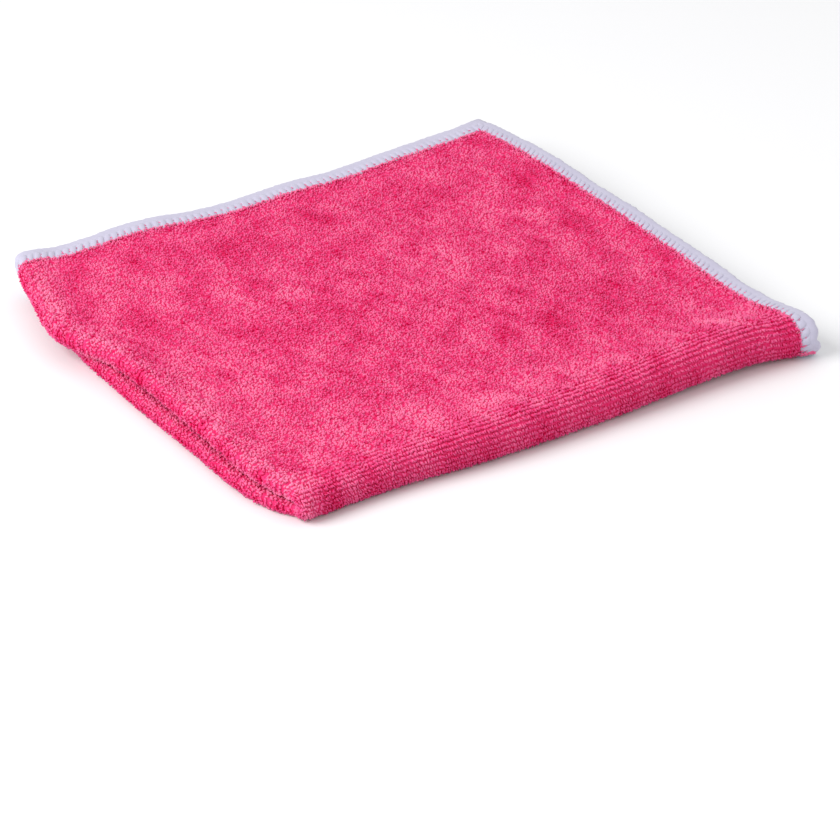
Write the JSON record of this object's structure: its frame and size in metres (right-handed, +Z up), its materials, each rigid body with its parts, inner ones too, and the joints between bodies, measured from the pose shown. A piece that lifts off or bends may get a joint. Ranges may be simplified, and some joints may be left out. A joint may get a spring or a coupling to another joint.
{
  "type": "folded microfibre cleaning cloth",
  "caption": "Square terry microfibre cleaning cloth with overlocked edges, folded in quarters into a soft flat square pad.",
  "frame": {"origin": "centre of the folded cloth's outline, on the surface that it rests on", "axes": "+X from the left fold to the open edges on the right, +Y from the front fold to the open edges at the back, +Z up through the layers"},
  "size_m": [0.2154, 0.2038, 0.0167],
  "materials": {
    "pink_terry": "matte terry pile of short loops, pale lavender overlock thread on the raw edges"
  },
  "bodies": {
    "root": {"cloth": "pink_terry"}
  },
  "joints": []
}
